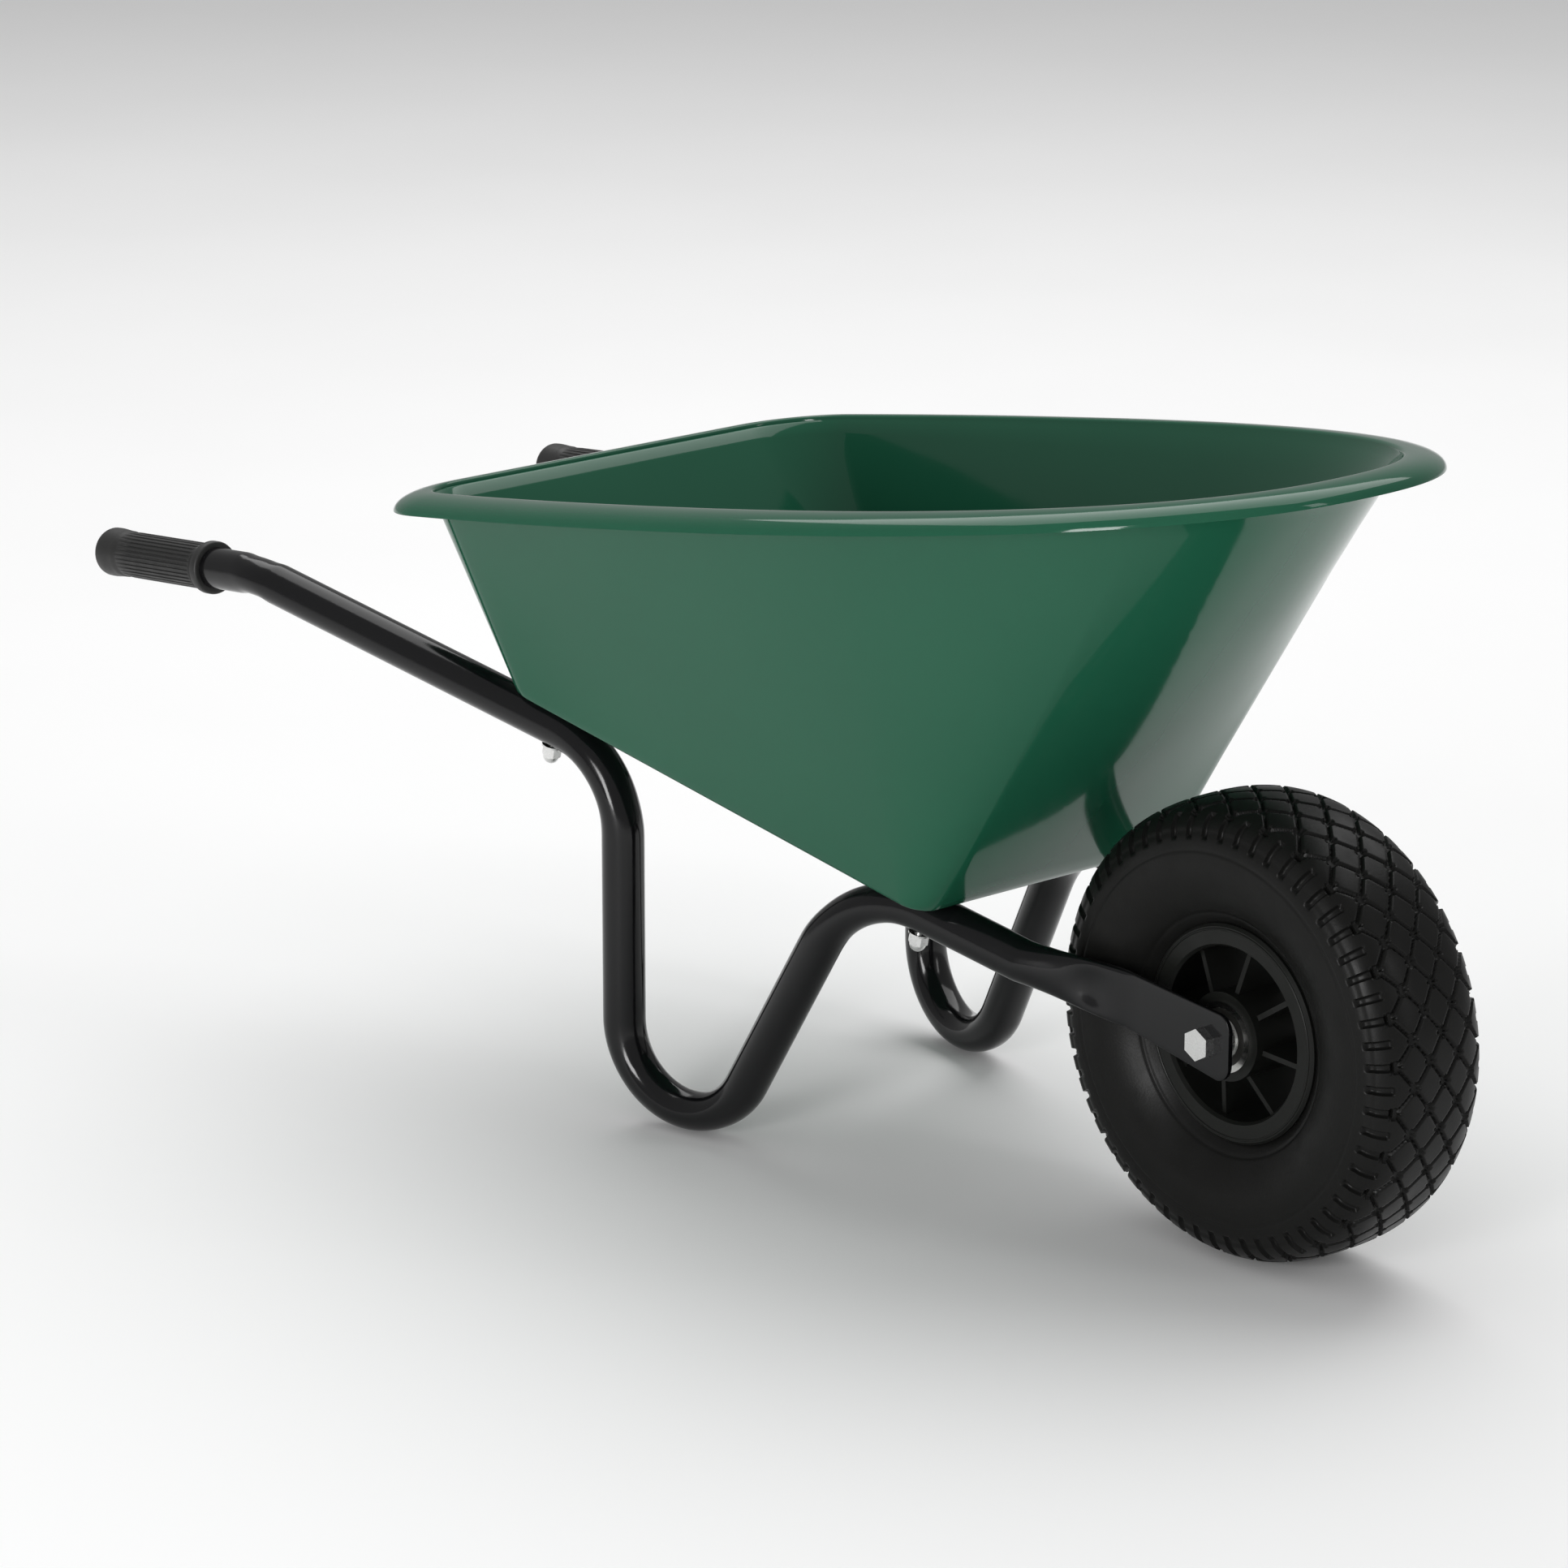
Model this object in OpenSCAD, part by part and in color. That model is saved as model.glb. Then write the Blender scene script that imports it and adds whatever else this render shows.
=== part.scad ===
// Small garden wheelbarrow: moulded tray on two bent steel tubes, one wheel on an axle bolt.
// +X points forward to the wheel, +Y to the left, +Z up. The origin is on the ground below the
// middle of the whole length. Distances named "from the axle" are measured along X, and each
// side's tube lies in an upright plane that closes in towards the wheel.

/* [Overall] */
// Length from the ends of the grips to the front of the tyre
overall_length = 960; // [900:5:1020]

/* [Wheel] */
// Outer diameter of the tyre
wheel_d = 260; // [240:5:280]
// Width of the tyre
tyre_w = 85; // [75:1:88]
// Diameter of the rim's flanges
flange_d = 123.4; // [118:1:130]
// Width of the rim over its flanges
rim_w = 60; // [54:1:64]
// Number of ribs on each face of the rim
rib_count = 8; // [6:1:10]
// Angle that the ribs are turned from the vertical
rib_turn = 10; // [0:1:44]
// Diameter of the rim's centre boss
boss_d = 50; // [46:1:54]
// Width of the centre boss
boss_w = 69; // [66:1:74]

/* [Axle] */
// Diameter of the axle bolt
axle_d = 10; // [8:1:12]
// Size across the flats of the axle bolt's head and nut
axle_flats = 16; // [15:1:17]
// Outer diameter of the tube that the bearings sit on
sleeve_d = 17; // [15:1:17]
// Outer diameter of each ball bearing
bearing_d = 40; // [35:1:42]
// Width of each ball bearing
bearing_w = 12; // [11:1:12]
// Distance between the middles of the two end plates
plate_gap = 98; // [96:1:104]

/* [Frame] */
// Diameter of the frame tubes
tube_d = 25; // [22:1:28]
// Wall of the frame tubes
tube_wall = 1.5; // [1.2:0.1:2]
// Angle in plan between each tube and the centre line
toe_in = 11.64; // [9:0.01:14]
// Distance from the centre line to each tube's plane, level with the axle
plane_offset = 36.8; // [32:0.1:42]
// Slope of the rails that carry the tray
rail_slope = 13.65; // [10:0.05:16]
// Height of the rails' line, level with the axle
rail_height = 116.8; // [110:0.1:124]
// Distance from the axle back to the legs, along the tube's plane
leg_back = 412.5; // [400:0.5:430]
// Angle between the brace in front of each leg and the vertical
brace_angle = 29; // [26:0.1:32]
// Bend radius at the foot
foot_r = 48; // [42:1:52]
// Bend radius above the leg
knee_r = 60; // [50:1:70]
// Bend radius above the brace
brow_r = 68; // [56:1:74]
// Distance from the axle back to the handle bends
handle_back = 675; // [660:1:700]
// Bend radius of the handles
handle_r = 80; // [70:1:110]
// Rise of the handles from their ends to the bend
handle_rise = 5; // [0:0.5:8]

/* [Flattened ends] */
// Distance from the axle back to where the flattening starts
flat_start = 128; // [120:1:140]
// Distance from the axle back to the crease
crease_back = 60; // [55:1:64]
// Height of the crease's middle above the axle
crease_rise = 10; // [6:0.5:14]
// Height of the end plate
plate_h = 38; // [35:0.5:40]
// Height of the end plate at the crease
crease_h = 32; // [30:0.5:35]
// Thickness of the end plate, two tube walls pressed together
plate_t = 3; // [2.6:0.1:4]
// Reach of the end plate past the axle
plate_nose = 19; // [17:1:23]

/* [Grips] */
// Length of each grip
grip_l = 110; // [100:1:125]
// Diameter of each grip
grip_d = 28.2; // [28:0.1:32]
// Diameter of the collar at the grip's inner end
collar_d = 32.4; // [30:0.5:36]

/* [Tray] */
// Rear edge of the rim, from the axle
rim_rear = -562; // [-570:1:-550]
// Front edge of the rim, from the axle
rim_front = 45; // [30:1:55]
// Half width of the rim where it is widest
rim_half = 168; // [160:1:180]
// Place where the rim is widest, from the axle
rim_wide = -342; // [-400:5:-300]
// Half width of the rim at its rear corners
rim_rear_half = 158; // [150:1:165]
// Radius of the rim's rear corners
rim_corner = 47; // [36:1:56]
// Power of the curve of the rim's front
nose_power = 2.4; // [2:0.05:3]
// Height of the rim at the rear
rim_height = 353; // [345:1:370]
// Angle at which the rim rises towards the front
rim_rise = 8.53; // [6:0.01:10]
// Rear edge of the floor, from the axle
floor_rear = -478; // [-490:1:-474]
// Front edge of the floor, from the axle
floor_front = -169; // [-176:1:-160]
// Half width of the floor at the rear
floor_rear_half = 146.3; // [142:0.1:150]
// Half width of the floor at the front
floor_front_half = 106.2; // [102:0.1:112]
// Radius of the floor's corners
floor_corner = 17; // [12:1:20]
// Width of the rim's rolled lip
lip_w = 21.7; // [18:0.1:24]
// Height of the rolled lip
lip_h = 10.2; // [8:0.1:12]
// Wall of the tray
tray_wall = 3; // [3:0.1:4.2]

/* [Tray fasteners] */
// Distance from the axle back to the rear pair of bolts
rear_bolts = 452; // [446:1:458]
// Distance from the axle back to the front pair of bolts
front_bolts = 194; // [190:1:198]
// How much lower the front washers sit, where the brow bend has begun and the tube dips
bend_drop = 0.8; // [0:0.05:1.5]
// Diameter of the tray bolts
bolt_d = 6; // [5:1:6]
// Diameter of the tray bolts' round heads
bolt_head_d = 13; // [12:0.1:14]
// Thickness of the washers between the tubes and the tray
spacer_t = 1; // [1:0.1:2]

/* [Hidden] */
$fn = 96;

tube_r = tube_d / 2;
wheel_r = wheel_d / 2;
left = 1;
right = -1;
axle_x = overall_length / 2 - wheel_r;
slip = 0.2; // room round a bolt in a drilled hole

// ---- places on the frame ----
function plane_point(s, z, side) = [axle_x + s * cos(toe_in), side * (plane_offset - s * sin(toe_in)), z];
function rail_z(s) = rail_height - s * tan(rail_slope);
function along(x) = x / cos(toe_in);
function rail_point(x, side) = plane_point(along(x), rail_z(along(x)), side);

leg_s = -leg_back;
foot_centre_z = foot_r + tube_r;
foot_corner_z = foot_centre_z - foot_r * tan((180 - brace_angle) / 2);
brow_z = (rail_height - tan(rail_slope) * (leg_s - foot_corner_z * tan(brace_angle)))
  / (1 + tan(rail_slope) * tan(brace_angle));
brow_s = leg_s + (brow_z - foot_corner_z) * tan(brace_angle);

// The tray's floor lies on both rails: its slope along X, and its underside
floor_slope = atan(tan(rail_slope) / cos(toe_in));
floor_lift = (tube_r + spacer_t) / cos(floor_slope);
function floor_z(x) = rail_z(along(x)) + floor_lift;
function rim_z(x) = rim_height + (x - rim_rear) * tan(rim_rise);

// ---- general shapes ----
function unit(v) = v / norm(v);
function mix(a, b, k) = a + (b - a) * k;
function ease(k) = k * k * (3 - 2 * k);

// A frame with its origin at c, its local Z along axis and its local X near the hint
module aim(c, axis, hint = [0, 0, 1]) {
  z = unit(axis);
  x = unit(hint - (hint * z) * z);
  y = cross(z, x);
  multmatrix([[x[0], y[0], z[0], c[0]], [x[1], y[1], z[1], c[1]], [x[2], y[2], z[2], c[2]], [0, 0, 0, 1]])
    children();
}

// Length that a bend of radius r takes off each leg of the corner between a, p and b
function bend_cut(a, p, b, r) = r * tan(acos(unit(p - a) * unit(b - p)) / 2);

module straight(a, b, r) {
  aim(a, b - a, abs(unit(b - a)[2]) > 0.9 ? [1, 0, 0] : [0, 0, 1])
    cylinder(r = r, h = norm(b - a));
}

// Each end of a bend sits a little inside the straight bar that it joins
module bend(a, p, b, bend_r, r) {
  over = 1.2;
  u = unit(p - a);
  v = unit(b - p);
  turn = acos(u * v);
  w = unit(v - (u * v) * u);
  c = p - u * bend_r * tan(turn / 2) + w * bend_r;
  n = cross(-w, u);
  multmatrix([[-w[0], u[0], n[0], c[0]], [-w[1], u[1], n[1], c[1]], [-w[2], u[2], n[2], c[2]], [0, 0, 0, 1]])
    rotate([0, 0, -over]) rotate_extrude(angle = turn + 2 * over) translate([bend_r, 0]) circle(r = r - 0.2);
}

// A round bar along the points, with a bend at each inner one
module bent_bar(points, radii, r) {
  last = len(points) - 1;
  cut = [for (i = [0:last]) i == 0 || i == last ? 0
    : bend_cut(points[i - 1], points[i], points[i + 1], radii[i - 1])];
  for (i = [0:last - 1]) {
    u = unit(points[i + 1] - points[i]);
    straight(points[i] + u * cut[i], points[i + 1] - u * cut[i + 1], r);
  }
  for (i = [1:last - 1]) bend(points[i - 1], points[i], points[i + 1], radii[i - 1], r);
}

// A closed skin over rings of n points; the last two points are the middles of its two ends
function skin_faces(rings, n) = concat(
  [for (i = [0:n - 1]) [rings * n, (i + 1) % n, i]],
  [for (k = [0:rings - 2], i = [0:n - 1]) let (j = (i + 1) % n) [(k + 1) * n + j, (k + 1) * n + i, k * n + i]],
  [for (k = [0:rings - 2], i = [0:n - 1]) let (j = (i + 1) % n) [k * n + j, (k + 1) * n + j, k * n + i]],
  [for (i = [0:n - 1]) [rings * n + 1, (rings - 1) * n + i, (rings - 1) * n + (i + 1) % n]]);

// Spherical cap on the plane z = 0
module dome(r, h) {
  ball = (r * r + h * h) / (2 * h);
  translate([0, 0, h - ball]) intersection() {
    sphere(r = ball);
    translate([0, 0, ball - h]) cylinder(r = r, h = h + 1);
  }
}

module hexagon(flats, h) { rotate([0, 0, 30]) cylinder(d = flats / cos(30), h = h, $fn = 6); }

module ring(outer_r, inner_r, h) {
  difference() {
    cylinder(r = outer_r, h = h);
    translate([0, 0, -1]) cylinder(r = inner_r, h = h + 2);
  }
}

// Turns Z to point along +Y or -Y, with the origin on the axle
module on_axle(side) { translate([axle_x, 0, wheel_r]) rotate([-90 * side, 0, 0]) children(); }

// ---- tray ----
// Half outlines run from the rear's middle round the left side to the front's middle
rear_steps = 3;
corner_steps = 6;
side_steps = 7;
cone_steps = 9;
front_steps = 5;
cone_start = 20; // angles of the nose curve between which a front corner opens out
cone_end = 60;

function nose_x(a) = rim_wide + (rim_front - rim_wide) * pow(sin(a), 2 / nose_power);
function nose_y(a) = rim_half * pow(max(cos(a), 0), 2 / nose_power);
rim_side_x = rim_rear + rim_corner;
rim_flare = 2 * atan2(rim_half - rim_rear_half, rim_wide - rim_side_x);
rim_corner_end = [rim_side_x, rim_rear_half - rim_corner] + rim_corner * [-sin(rim_flare), cos(rim_flare)];
function rim_side_y(x) = x < rim_wide
  ? rim_half - (rim_half - rim_corner_end[1]) * pow((rim_wide - x) / (rim_wide - rim_corner_end[0]), 2)
  : rim_half * pow(1 - pow((x - rim_wide) / (rim_front - rim_wide), nose_power), 1 / nose_power);
rim_half_outline = concat(
  [for (i = [0:rear_steps - 1]) [rim_rear, (rim_rear_half - rim_corner) * i / rear_steps]],
  [for (i = [0:corner_steps - 1]) let (a = 180 - (90 - rim_flare) * i / corner_steps)
    [rim_side_x, rim_rear_half - rim_corner] + rim_corner * [cos(a), sin(a)]],
  [for (i = [0:side_steps - 1]) let (x = mix(rim_corner_end[0], nose_x(cone_start), i / side_steps))
    [x, rim_side_y(x)]],
  [for (i = [0:cone_steps - 1]) let (a = mix(cone_start, cone_end, i / cone_steps)) [nose_x(a), nose_y(a)]],
  [for (i = [0:front_steps]) let (a = mix(cone_end, 90, i / front_steps)) [nose_x(a), nose_y(a)]]);

floor_taper = atan2(floor_rear_half - floor_front_half, floor_front - floor_rear);
rear_centre = [floor_rear + floor_corner, floor_rear_half - floor_corner];
front_centre = [floor_front - floor_corner, floor_front_half - floor_corner];
floor_half_outline = concat(
  [for (i = [0:rear_steps - 1]) [floor_rear, rear_centre[1] * i / rear_steps]],
  [for (i = [0:corner_steps - 1]) let (a = 180 - (90 + floor_taper) * i / corner_steps)
    rear_centre + floor_corner * [cos(a), sin(a)]],
  [for (i = [0:side_steps - 1]) mix(rear_centre, front_centre, i / side_steps)
    + floor_corner * [sin(floor_taper), cos(floor_taper)]],
  [for (i = [0:cone_steps - 1]) let (a = (90 - floor_taper) * (1 - i / cone_steps))
    front_centre + floor_corner * [cos(a), sin(a)]],
  [for (i = [0:front_steps]) [floor_front, front_centre[1] * (1 - i / front_steps)]]);

function both_sides(h) = concat(h, [for (i = [len(h) - 2:-1:1]) [h[i][0], -h[i][1]]]);
function outward(o) = [for (i = [0:len(o) - 1])
  let (t = unit(o[(i + 1) % len(o)] - o[(i + len(o) - 1) % len(o)])) [-t[1], t[0]]];
rim_outline = both_sides(rim_half_outline);
floor_outline = both_sides(floor_half_outline);
rim_normals = outward(rim_outline);
floor_normals = outward(floor_outline);
outline_count = len(rim_outline);

// One ring of the tray: part of the way up the wall, moved outward and lifted
function tray_ring(up, out, lift) = [for (i = [0:outline_count - 1])
  let (f = floor_outline[i] + floor_normals[i] * out, r = rim_outline[i] + rim_normals[i] * out)
  [axle_x + mix(f[0], r[0], up), mix(f[1], r[1], up), mix(floor_z(f[0]), rim_z(r[0]), up) + lift]];

// Profile from the floor's underside, up the outside, over the rolled lip and down the inside
w = tray_wall;
tray_profile = concat(
  [[0, -4.5, 0], [0, -1.4, 0.9], [0.025, 0, 0], [0.45, 0, 0], [0.92, 0, 0]],
  [for (a = [12:19.5:90]) [1, (lip_w - w) * sin(a), -w - (lip_h - w) * (1 - cos(a))]],
  [for (a = [90:-18:0]) [1, lip_w * sin(a), -lip_h * (1 - cos(a))]],
  [[1, -1.6, -1.4], [0.93, -w, 0], [0.45, -w, 0], [0.05, -w, 0], [0, -w - 1.5, w + 1], [0, -w - 4.5, w + 0.1]]);

module tray() {
  middle = (floor_front + floor_rear) / 2;
  points = concat([for (p = tray_profile, q = tray_ring(p[0], p[1], p[2])) q],
    [[axle_x + middle, 0, floor_z(middle)], [axle_x + middle, 0, floor_z(middle) + w + 0.1]]);
  color([0.10, 0.33, 0.24]) difference() {
    polyhedron(points, skin_faces(len(tray_profile), outline_count));
    each_bolt() translate([0, 0, tube_r]) cylinder(d = bolt_d + 2 * slip, h = 20);
  }
}

// ---- frame ----
flat_s = along(-flat_start);
crease_s = along(-crease_back);
function handle_corner(side) = rail_point(-handle_back, side);
function handle_end(side, reach) = handle_corner(side) - reach * [cos(handle_rise), 0, sin(handle_rise)];
grip_start = 44.8; // from the handle's corner back to the grip's collar
handle_l = grip_start + grip_l - 4;

function tube_route(side) = [
  handle_end(side, handle_l), handle_corner(side),
  plane_point(leg_s, rail_z(leg_s), side), plane_point(leg_s, foot_corner_z, side),
  plane_point(brow_s, brow_z, side), plane_point(flat_s, rail_z(flat_s), side)];
tube_bends = [handle_r, knee_r, foot_r, brow_r];

// The flattening runs from the round tube to the flat strap at the crease
module flattened_end(side) {
  hull() {
    aim(plane_point(flat_s - 4, rail_z(flat_s - 4), side),
      plane_point(1, 0, side) - plane_point(0, tan(rail_slope), side))
      cylinder(r = tube_r - 0.3, h = 0.1, $fn = 48);
    translate([axle_x - crease_back - 0.2, side * plate_gap / 2 - plate_t / 2,
      wheel_r + crease_rise - crease_h / 2])
      cube([0.2, plate_t, crease_h]);
  }
}

module end_plate(side) {
  corner = 9;
  half = plate_h / 2;
  low = crease_rise - crease_h / 2;
  translate([axle_x, side * plate_gap / 2 + plate_t / 2, wheel_r]) rotate([90, 0, 0]) linear_extrude(plate_t) {
    polygon([[-crease_back - 0.1, low], [plate_nose - corner, -half], [plate_nose, corner - half],
      [plate_nose, half - corner], [plate_nose - corner, half], [-crease_back - 0.1, low + crease_h]]);
    for (v = [corner - half, half - corner]) translate([plate_nose - corner, v]) circle(r = corner);
  }
}

// The bore runs out of the handle's end and stops short of the flattening
module right_tube() {
  route = tube_route(right);
  bore = concat([handle_end(right, handle_l + 2)], [for (i = [1:4]) route[i]],
    [plane_point(flat_s - 8, rail_z(flat_s - 8), right)]);
  difference() {
    union() {
      bent_bar(route, tube_bends, tube_r);
      flattened_end(right);
      end_plate(right);
    }
    bent_bar(bore, tube_bends, tube_r - tube_wall);
    for (back = [front_bolts, rear_bolts]) translate(rail_point(-back, right)) rotate([0, floor_slope, 0])
      translate([0, 0, -tube_d]) cylinder(d = bolt_d + 2 * slip, h = 2 * tube_d);
    on_axle(right) cylinder(d = axle_d + 2 * slip, h = plate_gap);
  }
}

// The left tube is the right one mirrored
module frame_tube(side) {
  color([0.03, 0.03, 0.035]) mirror([0, side == left ? 1 : 0, 0]) right_tube();
}

// ---- grips ----
// A sleeve closed at its end, with a collar at the inner end and a soft-edged flare at the outer one
module grip(side) {
  edge = 6;
  body_r = grip_d / 2;
  flare_r = body_r + 0.9;
  color([0.07, 0.07, 0.07])
    aim(handle_end(side, grip_start), handle_end(side, 100) - handle_end(side, 0)) difference() {
      rotate_extrude() {
        polygon([[0, 0], [collar_d / 2 - 1, 0], [collar_d / 2, 1], [collar_d / 2, 5], [collar_d / 2 - 1, 6],
          [body_r, 6], [body_r, grip_l - 26], [flare_r, grip_l - 10], [flare_r, grip_l - edge],
          [flare_r - edge, grip_l], [0, grip_l]]);
        intersection() {
          translate([flare_r - edge, grip_l - edge]) circle(r = edge);
          translate([flare_r - edge - 0.1, grip_l - edge - 0.1]) square(edge + 1);
        }
      }
      translate([0, 0, -1]) cylinder(r = tube_r, h = grip_l - 3);
    }
}

// ---- tray fasteners ----
// Each tray bolt's place: Z square to the floor, origin on the rail's axis.
// $seat is how far below the axis its lower washer sits
module each_bolt() {
  for (side = [right, left], back = [front_bolts, rear_bolts])
    for ($seat = tube_r + (back == front_bolts ? bend_drop : 0))
    translate(rail_point(-back, side)) rotate([0, floor_slope, 0]) children();
}

nut_h = 11;
washer_t = 1.2;
floor_top = tube_r + spacer_t + (tray_wall + 0.1) * cos(floor_slope);

module tray_bolts() {
  color([0.75, 0.76, 0.78]) each_bolt() {
    translate([0, 0, -$seat - washer_t - nut_h + 3])
      cylinder(d = bolt_d, h = $seat + washer_t + nut_h - 3 + floor_top + 0.5);
    translate([0, 0, floor_top]) dome(bolt_head_d / 2, 3.6);
  }
}

module spacer_washers() {
  color([0.75, 0.76, 0.78]) each_bolt() translate([0, 0, tube_r]) ring(6, bolt_d / 2 + slip / 2, spacer_t);
}

module tube_washers() {
  color([0.72, 0.73, 0.75]) each_bolt()
    translate([0, 0, -$seat - washer_t]) ring(6.5, bolt_d / 2 + slip / 2, washer_t);
}

module dome_nuts() {
  color([0.80, 0.80, 0.78]) each_bolt() translate([0, 0, -$seat - washer_t]) rotate([180, 0, 0]) difference() {
    union() {
      hexagon(10, 6);
      translate([0, 0, 5.9]) dome(4.8, nut_h - 5.9);
    }
    translate([0, 0, -1]) cylinder(d = bolt_d, h = nut_h - 2);
  }
}

// ---- axle ----
plate_face = plate_gap / 2 + plate_t / 2;
plate_back = plate_gap / 2 - plate_t / 2;
head_t = 6.2;
axle_nut_t = 8;
axle_washer_t = 2;
bearing_out = boss_w / 2 + 1.5;
bearing_in = bearing_out - bearing_w;

module axle_bolt() {
  color([0.78, 0.79, 0.80]) {
    translate([0, -plate_face, 0]) on_axle(left)
      cylinder(d = axle_d, h = 2 * plate_face + axle_washer_t + axle_nut_t + 3);
    translate([0, -plate_face, 0]) on_axle(right) hexagon(axle_flats, head_t);
  }
}

module axle_sleeve() {
  color([0.6, 0.6, 0.62]) translate([0, -plate_back, 0]) on_axle(left)
    ring(sleeve_d / 2, axle_d / 2 + slip, 2 * plate_back);
}

module axle_washer() {
  color([0.72, 0.73, 0.75]) translate([0, plate_face, 0]) on_axle(left)
    ring(10, axle_d / 2 + slip, axle_washer_t);
}

module axle_nut() {
  color([0.78, 0.79, 0.80]) translate([0, plate_face + axle_washer_t, 0]) on_axle(left) difference() {
    hexagon(axle_flats, axle_nut_t);
    translate([0, 0, -1]) cylinder(d = axle_d, h = axle_nut_t + 2);
  }
}

spacer_r = 11;
module end_spacer(side) {
  color([0.70, 0.71, 0.72]) translate([0, side * bearing_out, 0]) on_axle(side)
    ring(spacer_r, sleeve_d / 2 + slip / 4, plate_back - bearing_out);
}

module centre_spacer() {
  color([0.6, 0.6, 0.62]) translate([0, -bearing_in, 0]) on_axle(left)
    ring(spacer_r, sleeve_d / 2 + slip / 4, 2 * bearing_in);
}

// ---- bearings ----
ball_r = 3.35;
ball_count = 8;
pitch_r = (sleeve_d + bearing_d) / 4;
groove_r = ball_r + 0.05;
land = 2.2; // from the balls' pitch circle to each race's land

module groove() {
  translate([0, 0, bearing_w / 2]) rotate_extrude() translate([pitch_r, 0]) circle(r = groove_r, $fn = 48);
}

module inner_race(side) {
  color([0.68, 0.69, 0.70]) translate([0, side * bearing_in, 0]) on_axle(side) difference() {
    ring(pitch_r - land, sleeve_d / 2 + slip / 4, bearing_w);
    groove();
  }
}

module outer_race(side) {
  color([0.68, 0.69, 0.66]) translate([0, side * bearing_in, 0]) on_axle(side) difference() {
    ring(bearing_d / 2, pitch_r + land, bearing_w);
    groove();
  }
}

module bearing_balls(side) {
  color([0.8, 0.8, 0.82]) translate([0, side * bearing_in, 0]) on_axle(side)
    for (i = [0:ball_count - 1]) rotate([0, 0, 360 * i / ball_count])
      translate([pitch_r, 0, bearing_w / 2]) sphere(r = ball_r, $fn = 32);
}

module bearing_shield(side) {
  shield_t = 0.6;
  color([0.25, 0.25, 0.24]) translate([0, side * (bearing_out - shield_t - 0.2), 0]) on_axle(side)
    ring(pitch_r + land, pitch_r - land + 0.15, shield_t);
}

// ---- wheel ----
flange_r = flange_d / 2;
barrel_out = 52;
barrel_in = 49;
flange_t = 6;
rib_t = 3;

// Half section of the rim's barrel and flange, as [radius, distance from the middle]
module barrel_half() {
  half = rim_w / 2;
  polygon([[barrel_in, -1], [barrel_in, half - 2], [barrel_in + 1.5, half], [flange_r - 1.5, half],
    [flange_r, half - 1.5], [flange_r, half - flange_t + 2], [flange_r - 2, half - flange_t],
    [barrel_out, half - flange_t - 8], [barrel_out, -1]]);
}

module ribs() {
  depth = rim_w / 2 - 6;
  for (i = [0:rib_count - 1]) rotate([0, 0, 360 * i / rib_count + rib_turn])
    rotate([90, 0, 0]) translate([0, 0, -rib_t / 2]) linear_extrude(rib_t)
      polygon([[boss_d / 2 - 1, -depth - 6], [barrel_in + 0.5, -depth], [barrel_in + 0.5, depth],
        [boss_d / 2 - 1, depth + 6]]);
}

module wheel_rim() {
  color([0.10, 0.10, 0.10]) on_axle(left) difference() {
    union() {
      rotate_extrude() barrel_half();
      mirror([0, 0, 1]) rotate_extrude() barrel_half();
      translate([0, 0, -boss_w / 2]) cylinder(d = boss_d, h = boss_w);
      ribs();
    }
    translate([0, 0, -boss_w / 2 - 1]) cylinder(r = spacer_r + 2, h = boss_w + 2);
    for (m = [0, 1]) mirror([0, 0, m]) translate([0, 0, bearing_in]) cylinder(d = bearing_d, h = bearing_w + 2);
  }
}

// Half section of the tyre: crown and shoulder as a rounded square curve, sidewall in to the bead
shoulder_r = 99;
shoulder_power = 3;
bead_w = rim_w / 2 - 3;
tyre_half_section = concat(
  [for (a = [90:-6:0]) [shoulder_r + (wheel_r - shoulder_r) * pow(sin(a), 2 / shoulder_power),
    tyre_w / 2 * pow(cos(a), 2 / shoulder_power)]],
  [for (k = [0.2:0.2:0.99]) [mix(shoulder_r, flange_r + 0.3, k), mix(tyre_w / 2, bead_w, k * k)]],
  [[flange_r + 0.1, bead_w], [flange_r + 0.1, rim_w / 2 - flange_t + 1.7],
    [flange_r - 2, rim_w / 2 - flange_t - 0.3],
    [barrel_out + 0.1, rim_w / 2 - flange_t - 8.1], [barrel_out + 0.1, -1], [wheel_r, -1]]);

module tyre() {
  color([0.05, 0.05, 0.05]) on_axle(left) for (m = [0, 1]) mirror([0, 0, m])
    rotate_extrude() polygon([for (p = tyre_half_section) [p[0], max(p[1], 0)]]);
}

tray();
frame_tube(left);  // frame_tube_left
frame_tube(right);  // frame_tube_right
grip(left);  // grip_left
grip(right);  // grip_right
tray_bolts();
spacer_washers();
tube_washers();
dome_nuts();
axle_bolt();
axle_sleeve();
axle_washer();
axle_nut();
end_spacer(left);  // end_spacer_left
end_spacer(right);  // end_spacer_right
centre_spacer();
inner_race(left);  // inner_race_left
inner_race(right);  // inner_race_right
outer_race(left);  // outer_race_left
outer_race(right);  // outer_race_right
bearing_balls(left);  // bearing_balls_left
bearing_balls(right);  // bearing_balls_right
bearing_shield(left);  // bearing_shield_left
bearing_shield(right);  // bearing_shield_right
wheel_rim();
tyre();
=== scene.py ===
import math

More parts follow.
